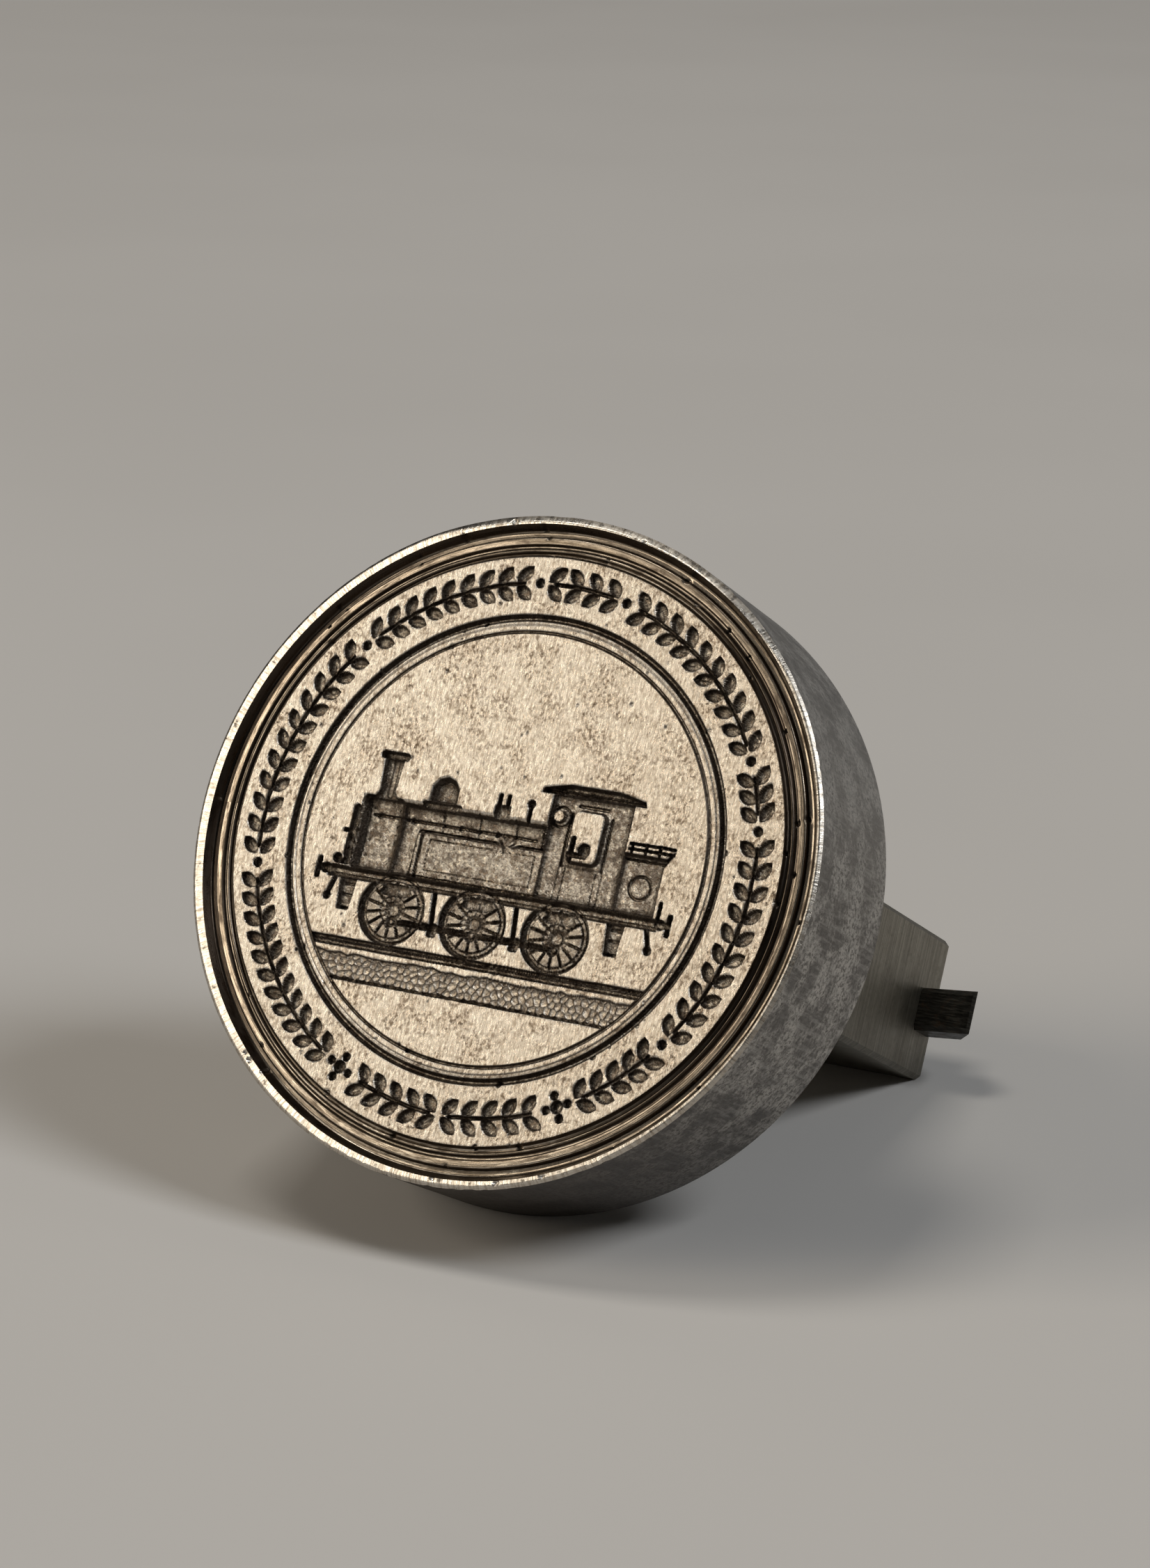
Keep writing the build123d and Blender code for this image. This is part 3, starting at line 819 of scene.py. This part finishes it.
class Shader:
    """A small helper to write node trees in few lines."""

    def __init__(self, name):
        self.material = bpy.data.materials.new(name)
        self.material.use_nodes = True
        self.tree = self.material.node_tree
        self.shader = self.tree.nodes["Principled BSDF"]

    def node(self, kind, **settings):
        """Adds a shader node."""
        made = self.tree.nodes.new("ShaderNode" + kind)
        for key, value in settings.items():
            setattr(made, key, value)
        return made

    def feed(self, socket, value):
        """Links a socket to another, or sets its value."""
        if isinstance(value, bpy.types.NodeSocket):
            self.tree.links.new(value, socket)
        else:
            socket.default_value = value

    def math(self, operation, *values):
        made = self.node("Math", operation=operation)
        for socket, value in zip(made.inputs, values):
            self.feed(socket, value)
        return made.outputs[0]

    def place(self):
        """A point in the die's own frame, in millimetres."""
        where = self.node("TexCoord").outputs["Object"]
        centre = TURN.transposed() @ CENTRE
        made = self.node("Mapping", vector_type="POINT")
        self.feed(made.inputs["Vector"], where)
        made.inputs["Rotation"].default_value = TURN.transposed().to_euler()
        made.inputs["Scale"].default_value = (1 / MM,) * 3
        made.inputs["Location"].default_value = tuple(-centre / MM)
        return made.outputs[0]

    def scaled(self, where, x, y, z):
        """A point with its coordinates multiplied."""
        made = self.node("Mapping", vector_type="POINT")
        self.feed(made.inputs["Vector"], where)
        made.inputs["Scale"].default_value = (x, y, z)
        return made.outputs[0]

    def polar(self, where):
        """Arc length round the die's axis at its edge, radius and height, in millimetres."""
        split = self.node("SeparateXYZ")
        self.feed(split.inputs[0], where)
        x, y, z = split.outputs
        square = self.math("ADD", self.math("MULTIPLY", x, x), self.math("MULTIPLY", y, y))
        radius = self.math("SQRT", square)
        angle = self.math("MULTIPLY", self.math("ARCTAN2", y, x), HEAD_RADIUS)
        made = self.node("CombineXYZ")
        for socket, value in zip(made.inputs, (angle, radius, z)):
            self.feed(socket, value)
        return made.outputs[0]

    def axis(self, where, number):
        """One coordinate of a point."""
        split = self.node("SeparateXYZ")
        self.feed(split.inputs[0], where)
        return split.outputs[number]

    def noise(self, where, scale, detail=4, rough=0.6):
        made = self.node("TexNoise")
        self.feed(made.inputs["Vector"], where)
        made.inputs["Scale"].default_value = scale
        made.inputs["Detail"].default_value = detail
        made.inputs["Roughness"].default_value = rough
        return made.outputs["Fac"]

    def remap(self, value, low, high, to_low=0.0, to_high=1.0):
        """A value taken from one range to another along an S-curve."""
        made = self.node("MapRange", interpolation_type="SMOOTHSTEP")
        made.inputs["From Min"].default_value = low
        made.inputs["From Max"].default_value = high
        made.inputs["To Min"].default_value = to_low
        made.inputs["To Max"].default_value = to_high
        self.feed(made.inputs["Value"], value)
        return made.outputs["Result"]

    def mix(self, share, one, other):
        """One colour turning into another as the share goes from 0 to 1."""
        made = self.node("Mix", data_type="RGBA")
        self.feed(made.inputs["Factor"], share)
        for name, colour in (("A", one), ("B", other)):
            socket = [s for s in made.inputs if s.name == name and s.type == "RGBA"][0]
            self.feed(socket, colour if isinstance(colour, bpy.types.NodeSocket) else (*colour, 1))
        return [s for s in made.outputs if s.type == "RGBA"][0]

    def bump(self, height, strength, distance):
        made = self.node("Bump")
        made.inputs["Strength"].default_value = strength
        made.inputs["Distance"].default_value = distance
        self.feed(made.inputs["Height"], height)
        return made.outputs[0]

    def steel(self, colour, roughness, normal):
        """Finishes the material as bare metal."""
        self.feed(self.shader.inputs["Base Color"], colour)
        self.feed(self.shader.inputs["Roughness"], roughness)
        self.shader.inputs["Metallic"].default_value = 1.0
        self.feed(self.shader.inputs["Normal"], normal)
        return self.material


BRIGHT = (0.88, 0.83, 0.75)
DULL = (0.42, 0.36, 0.29)
DARK = (0.055, 0.042, 0.032)
BLACK = (0.03, 0.022, 0.017)

# Lines marked as painted shade are stains fixed to the die. Their places were tuned to the light
# and shade of the photograph, and they stay the same under any light.


def field_steel():
    """The flat of the face: drawn lines up and down it, grain, stains, and painted shade in the
    cuts.
    """
    s = Shader("field_steel")
    where = s.place()
    drawn = s.noise(s.scaled(where, 9.5, 1.1, 1.0), 1.0, 5, 0.75)
    grain = s.noise(s.scaled(where, 3.6, 2.4, 1.0), 1.0, 5, 0.75)
    stain = s.noise(where, 0.26, 5, 0.75)
    cut = s.node("Attribute", attribute_name="cut").outputs["Fac"]
    wall = s.node("Attribute", attribute_name="wall").outputs["Fac"]
    colour = s.mix(s.remap(drawn, 0.36, 0.6), (0.5, 0.43, 0.35), BRIGHT)
    colour = s.mix(s.remap(grain, 0.5, 0.66, 0.0, 0.75), colour, (0.4, 0.32, 0.24))
    colour = s.mix(s.remap(stain, 0.44, 0.64, 0.0, 0.3), colour, (0.55, 0.45, 0.34))
    # Painted shade: a little darker to the right
    colour = s.mix(s.remap(s.axis(where, 0), -8, 22, 0.0, 0.2), colour, (0.5, 0.41, 0.31))
    soiled = s.math("MULTIPLY", s.remap(grain, 0.46, 0.6), s.remap(stain, 0.42, 0.6))
    colour = s.mix(s.math("MULTIPLY", soiled, 0.9), colour, (0.17, 0.125, 0.088))
    blotch = s.noise(where, 0.9, 4, 0.7)
    pits = s.noise(where, 3.2, 3, 0.75)
    floor = s.mix(s.remap(pits, 0.42, 0.62), (0.92, 0.82, 0.68), (0.36, 0.285, 0.215))
    floor = s.mix(s.remap(blotch, 0.47, 0.62, 0.0, 0.78), floor, (0.15, 0.11, 0.08))
    colour = s.mix(s.remap(cut, 0.03, 0.25), colour, floor)
    # Painted shade on the walls of the cuts and turned grooves, at the cuts' feet, and round the
    # stones
    colour = s.mix(s.remap(wall, 0.05, 0.6, 0.0, 0.97), colour, DARK)
    dots = s.remap(s.noise(where, 2.4, 2, 0.5), 0.66, 0.7)
    specks = s.math("MULTIPLY", dots, s.remap(stain, 0.44, 0.6))
    colour = s.mix(s.math("MULTIPLY", specks, 0.9), colour, (0.1, 0.075, 0.055))
    rough = s.remap(grain, 0.3, 0.7, 0.23, 0.38)
    pitted = s.math("MULTIPLY", s.remap(pits, 0.35, 0.65), s.remap(cut, 0.05, 0.3, 0.0, 1.6))
    height = s.math("ADD", s.math("MULTIPLY", drawn, 0.7), s.math("MULTIPLY", grain, 0.8))
    return s.steel(colour, rough, s.bump(s.math("SUBTRACT", height, pitted), 0.6, 0.00008))


def moat_steel():
    """The turned grooves: fine lines round the axis, painted shade on the walls, and grime in their
    bottoms.
    """
    s = Shader("moat_steel")
    place = s.place()
    where = s.polar(place)
    turned = s.noise(s.scaled(where, 0.12, 14.0, 1.0), 1.0, 3, 0.6)
    grime = s.noise(s.scaled(where, 0.6, 3.0, 1.0), 1.0, 5, 0.75)
    wall = s.node("Attribute", attribute_name="wall").outputs["Fac"]
    colour = s.mix(s.remap(turned, 0.35, 0.65), (0.19, 0.155, 0.115), (0.52, 0.445, 0.36))
    colour = s.mix(s.remap(grime, 0.46, 0.66, 0.0, 0.85), colour, (0.085, 0.063, 0.046))
    # Painted shade: brighter patches low on the face
    low = s.remap(s.axis(place, 1), -22, -14, 0.6, 0.0)
    patches = s.remap(s.noise(s.scaled(where, 0.5, 5.0, 1.0), 1.0, 4, 0.7), 0.5, 0.6)
    colour = s.mix(s.math("MULTIPLY", low, patches), colour, (0.85, 0.76, 0.63))
    # Painted shade: the outer groove dark on the left, the inner grooves dark on the right
    outer = s.remap(s.axis(where, 1), 23.05, 23.35)
    outer = s.math("MULTIPLY", outer, s.remap(s.axis(place, 0), -21, -6, 0.92, 0.0))
    colour = s.mix(outer, colour, BLACK)
    inner = s.remap(s.axis(where, 1), 23.4, 22.9)
    inner = s.math("MULTIPLY", inner, s.remap(s.axis(place, 0), 8, 20, 0.0, 0.85))
    colour = s.mix(inner, colour, BLACK)
    # Painted shade on the steep walls
    colour = s.mix(s.remap(wall, 0.15, 0.8, 0.0, 0.92), colour, DARK)
    rough = s.remap(grime, 0.35, 0.7, 0.24, 0.42)
    return s.steel(colour, rough, s.bump(turned, 0.25, 0.00005))


def land_steel():
    """The rim's flat: bright, with scratches out to its darker edge."""
    s = Shader("land_steel")
    where = s.polar(s.place())
    scratches = s.noise(s.scaled(where, 5.0, 0.5, 1.0), 1.0, 4, 0.7)
    spots = s.noise(where, 1.4, 3, 0.6)
    colour = s.mix(s.remap(scratches, 0.3, 0.6), DULL, BRIGHT)
    colour = s.mix(s.remap(s.axis(where, 1), 24.7, 24.86, 0.0, 0.55), colour, (0.24, 0.205, 0.165))
    colour = s.mix(s.remap(spots, 0.62, 0.72, 0.0, 0.8), colour, DARK)
    rough = s.remap(spots, 0.3, 0.7, 0.22, 0.42)
    return s.steel(colour, rough, s.bump(scratches, 0.5, 0.00008))


def side_steel():
    """The head's side: grey, mottled, with streaks along the axis."""
    s = Shader("side_steel")
    place = s.place()
    where = s.polar(place)
    streaks = s.noise(s.scaled(where, 2.2, 1.0, 0.25), 1.0, 5, 0.65)
    mottle = s.noise(where, 0.5, 6, 0.7)
    spots = s.noise(where, 2.0, 3, 0.6)
    fine = s.noise(where, 2.6, 4, 0.8)
    colour = s.mix(s.remap(mottle, 0.4, 0.6), (0.19, 0.178, 0.165), (0.56, 0.532, 0.495))
    colour = s.mix(s.remap(fine, 0.47, 0.57, 0.0, 0.85), colour, (0.13, 0.121, 0.11))
    colour = s.mix(s.remap(streaks, 0.45, 0.7, 0.0, 0.5), colour, (0.56, 0.54, 0.505))
    # Painted shade: lighter above, and darker below
    colour = s.mix(s.remap(s.axis(place, 1), -2, 14, 0.0, 0.42), colour, (0.72, 0.69, 0.65))
    colour = s.mix(s.remap(spots, 0.6, 0.7, 0.0, 0.6), colour, (0.1, 0.088, 0.075))
    colour = s.mix(s.remap(s.axis(place, 1), -25, -11, 0.9, 0.0), colour, (0.065, 0.056, 0.05))
    rough = s.remap(mottle, 0.3, 0.7, 0.45, 0.62)
    height = s.math("ADD", streaks, s.math("MULTIPLY", fine, 0.8))
    return s.steel(colour, rough, s.bump(height, 0.5, 0.0001))


def back_steel():
    """The head's back: turned, dull and a little stained."""
    s = Shader("back_steel")
    where = s.polar(s.place())
    turned = s.noise(s.scaled(where, 0.1, 6.0, 1.0), 1.0, 4, 0.6)
    mottle = s.noise(where, 0.4, 5, 0.65)
    colour = s.mix(s.remap(turned, 0.35, 0.65), (0.2, 0.185, 0.165), (0.36, 0.34, 0.31))
    colour = s.mix(s.remap(mottle, 0.5, 0.75, 0.0, 0.5), colour, (0.12, 0.1, 0.08))
    return s.steel(colour, s.remap(mottle, 0.3, 0.7, 0.36, 0.52), s.bump(turned, 0.4, 0.00008))


def shank_steel():
    """The shank: ground across, grey-olive."""
    s = Shader("shank_steel")
    where = s.place()
    ground = s.noise(s.scaled(where, 0.1, 0.1, 7.0), 1.0, 5, 0.7)
    mottle = s.noise(where, 0.35, 5, 0.65)
    fine = s.noise(where, 1.7, 5, 0.8)
    colour = s.mix(s.remap(ground, 0.35, 0.65), (0.175, 0.161, 0.129), (0.335, 0.312, 0.258))
    colour = s.mix(s.remap(mottle, 0.5, 0.75, 0.0, 0.3), colour, (0.13, 0.104, 0.076))
    colour = s.mix(s.remap(fine, 0.5, 0.64, 0.0, 0.45), colour, (0.11, 0.095, 0.073))
    # Painted shade: darker below
    colour = s.mix(s.remap(s.axis(where, 1), -16, 6, 0.6, 0.0), colour, (0.08, 0.072, 0.057))
    return s.steel(colour, s.remap(mottle, 0.3, 0.7, 0.38, 0.46), s.bump(ground, 0.5, 0.0001))


def peg_steel():
    """The peg: filed, dark, with a little rust in patches."""
    s = Shader("peg_steel")
    where = s.place()
    filed = s.noise(s.scaled(where, 0.8, 7.0, 0.8), 1.0, 4, 0.7)
    rust = s.noise(where, 1.1, 5, 0.7)
    colour = s.mix(s.remap(filed, 0.4, 0.7), (0.032, 0.03, 0.026), (0.088, 0.083, 0.07))
    colour = s.mix(s.remap(rust, 0.52, 0.7, 0.0, 0.45), colour, (0.1, 0.05, 0.024))
    return s.steel(colour, s.remap(rust, 0.3, 0.7, 0.32, 0.55), s.bump(filed, 0.4, 0.00008))


HEAD_MATERIALS = {
    "field": field_steel,
    "moat": moat_steel,
    "land": land_steel,
    "side": side_steel,
    "back": back_steel,
}


def repaint(node, material):
    """Gives a carried-over CAD node a better material."""
    for slot in frame["nodes"][node].material_slots:
        slot.material = material


# ---------------------------------------------------------------- floor, light and camera

FLOOR_SIZE = 8


def floor():
    """A wide sheet of pale paper under the die."""
    s = Shader("pale_paper")
    where = s.node("TexCoord").outputs["Object"]
    cloud = s.noise(where, 6.0, 3, 0.5)
    colour = s.mix(s.remap(cloud, 0.3, 0.7), (0.60, 0.582, 0.56), (0.63, 0.612, 0.59))
    s.feed(s.shader.inputs["Base Color"], colour)
    s.shader.inputs["Roughness"].default_value = 0.85
    bpy.ops.mesh.primitive_plane_add(size=FLOOR_SIZE)
    plane = bpy.context.active_object
    plane.name = "floor"
    plane.data.materials.append(s.material)


# Name, azimuth and elevation in degrees, distance, side of the square panel, power and colour.
# Azimuth 0 is in front of the die, and 90 to its right.
LIGHTS = [
    ("warm_key", -49, 28, 2.6, 1.3, 24, (1.0, 0.89, 0.735)),
    ("left_window", -82, 74, 3.0, 0.85, 19, (1.0, 0.95, 0.87)),
    ("cool_right", 86, 46, 3.0, 0.95, 34, (0.94, 0.97, 1.0)),
]
ROOM_COLOUR = (0.95, 0.97, 1.0, 1)
ROOM_STRENGTH = 0.045


def area_light(name, azimuth, elevation, distance, size, power, colour):
    """A soft box near the die, aimed at it."""
    a, e = math.radians(azimuth), math.radians(elevation)
    way = Vector((math.sin(a) * math.cos(e), -math.cos(a) * math.cos(e), math.sin(e)))
    lamp = bpy.data.lights.new(name, "AREA")
    lamp.shape = "RECTANGLE"
    lamp.size = lamp.size_y = size
    lamp.energy = power
    lamp.color = colour
    holder = bpy.data.objects.new(name, lamp)
    holder.location = CENTRE + way * distance
    holder.rotation_euler = way.to_track_quat("Z", "Y").to_euler()
    bpy.context.scene.collection.objects.link(holder)


def lights():
    """The soft boxes and a faint glow from the room."""
    for light in LIGHTS:
        area_light(*light)
    world = bpy.data.worlds.new("soft_room")
    bpy.context.scene.world = world
    world.use_nodes = True
    background = world.node_tree.nodes["Background"]
    background.inputs["Color"].default_value = ROOM_COLOUR
    background.inputs["Strength"].default_value = ROOM_STRENGTH
    bpy.context.scene.view_settings.view_transform = "Standard"


# Degrees, with azimuth 0 in front of the die and 90 to its right
CAMERA_AZIMUTH = 26.9
CAMERA_ELEVATION = 16.6
CAMERA_ROLL = 0.8
CAMERA_DISTANCE = 0.302
# How far right of and above the middle of the face the camera aims
AIM_RIGHT = 0.0056
AIM_UP = 0.0045
# Focal length and sensor width in millimetres
LENS = 95.9
SENSOR = 36
NEAREST_SEEN = 0.01


def camera():
    """The camera, where the photograph was taken from."""
    a, e = math.radians(CAMERA_AZIMUTH), math.radians(CAMERA_ELEVATION)
    back = Vector((math.sin(a) * math.cos(e), -math.cos(a) * math.cos(e), math.sin(e)))
    level = Vector((math.cos(a), math.sin(a), 0))
    turn = Matrix.Rotation(math.radians(CAMERA_ROLL), 3, back)
    right = turn @ level
    up = back.cross(right)
    data = bpy.data.cameras.new("camera")
    data.sensor_width = SENSOR
    data.lens = LENS
    data.clip_start = NEAREST_SEEN
    holder = bpy.data.objects.new("camera", data)
    at = CENTRE + right * AIM_RIGHT + up * AIM_UP + back * CAMERA_DISTANCE
    axes = Matrix((right, up, back)).transposed().to_4x4()
    holder.matrix_world = Matrix.Translation(at) @ axes
    bpy.context.scene.collection.objects.link(holder)
    bpy.context.scene.camera = holder


def main():
    """Sets the stage and dresses the CAD frame."""
    camera()
    lights()
    floor()
    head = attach(die_head(), "root")
    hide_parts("die_head")
    repaint("shank", shank_steel())
    repaint("locating_peg", peg_steel())


main()
